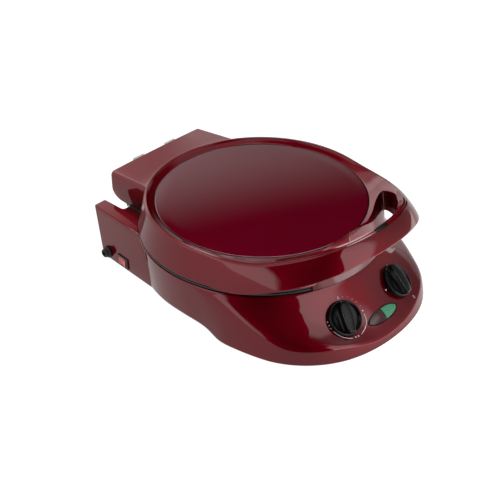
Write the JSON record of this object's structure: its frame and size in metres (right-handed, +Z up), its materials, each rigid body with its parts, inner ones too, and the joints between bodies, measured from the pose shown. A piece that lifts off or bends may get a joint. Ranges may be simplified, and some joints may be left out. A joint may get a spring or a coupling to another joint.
{
  "type": "pizza maker",
  "caption": "Round clamshell electric pizza maker with a hinged lid and hoop handle, sloping front panel with two rotary knobs and an indicator lens, and rear arms, one with a rocker switch.",
  "frame": {"origin": "centre of the footprint box on the table surface, 10 mm in front of the axis of the round plates", "axes": "+Z up; -Y towards the user, the side with the control panel and the handle; +X the user's right; the hinge is at +Y"},
  "size_m": [0.316, 0.418, 0.1473],
  "materials": {
    "housing_red": "high-gloss dark cherry red with a fine metallic flake",
    "disc_red": "gloss dark cherry red paint",
    "black_plastic": "satin black",
    "black_gloss": "gloss black",
    "black_rubber": "matte black",
    "grey_rubber": "matte light grey",
    "coated_plate": "black non-stick coating",
    "steel": "plain steel",
    "shield_aluminium": "bright pressed sheet",
    "ceramic_plastic": "pale moulded, matte",
    "lens_red": "clear dark red",
    "lens_green": "clear green",
    "lamp_glass": "clear",
    "rocker_red": "translucent red, gloss"
  },
  "bodies": {
    "base": {"base_housing": "housing_red", "base_bottom_cover": "black_plastic", "base_bottom_screws": "steel", "front_feet": "black_rubber", "rear_arm_left": "housing_red", "rear_arm_right": "housing_red", "rear_arm_cover_left": "black_plastic", "rear_arm_cover_right": "black_plastic", "rear_feet": "black_rubber", "rear_arm_screws": "steel", "switch_bezel": "black_gloss", "cord_gland": "black_rubber", "lower_baking_plate": "coated_plate", "lower_heating_element": "steel", "lower_heat_shield": "shield_aluminium", "lower_spacer_tubes": "steel", "lower_plate_studs": "steel", "heat_shield_legs": "steel", "thermostat": "ceramic_plastic", "function_selector": "ceramic_plastic", "indicator_rim": "black_gloss", "indicator_lens_red": "lens_red", "indicator_lens_green": "lens_green", "indicator_lamps": "lamp_glass", "terminal_block": "ceramic_plastic", "hinge_blocks": "black_plastic", "hinge_rod": "steel"},
    "lid": {"lid_shell": "housing_red", "lid_disc": "disc_red", "handle_insert": "black_gloss", "upper_baking_plate": "coated_plate", "upper_heating_element": "steel", "upper_heat_shield": "shield_aluminium", "upper_spacer_tubes": "steel", "upper_plate_studs": "steel", "hinge_box_cover": "housing_red", "hinge_box_base": "black_plastic", "hinge_box_screws": "steel", "rear_bumpers": "grey_rubber"},
    "thermostat_control": {"thermostat_knob": "black_gloss", "thermostat_shaft": "steel"},
    "selector_control": {"selector_knob": "black_gloss", "selector_shaft": "steel"},
    "rocker": {"switch_rocker": "rocker_red"}
  },
  "joints": [
    {"name": "lid_hinge", "type": "hinge", "parent": "base", "child": "lid", "pos_m": [0, 0.176, 0.06], "axis": [-1, 0, 0], "range_deg": [0, 100]},
    {"name": "thermostat_turn", "type": "hinge", "parent": "base", "child": "thermostat_control", "pos_m": [-0.051, -0.1675, 0.03664], "axis": [0.1594, 0.6709, -0.7242], "range_deg": [0, 285]},
    {"name": "selector_turn", "type": "hinge", "parent": "base", "child": "selector_control", "pos_m": [0.051, -0.1675, 0.03664], "axis": [-0.1594, 0.6709, -0.7242], "range_deg": [-180, 90]},
    {"name": "switch_rock", "type": "hinge", "parent": "base", "child": "rocker", "pos_m": [-0.12551, 0.13915, 0.013], "axis": [0, 0, 1], "range_deg": [0, 9]}
  ]
}
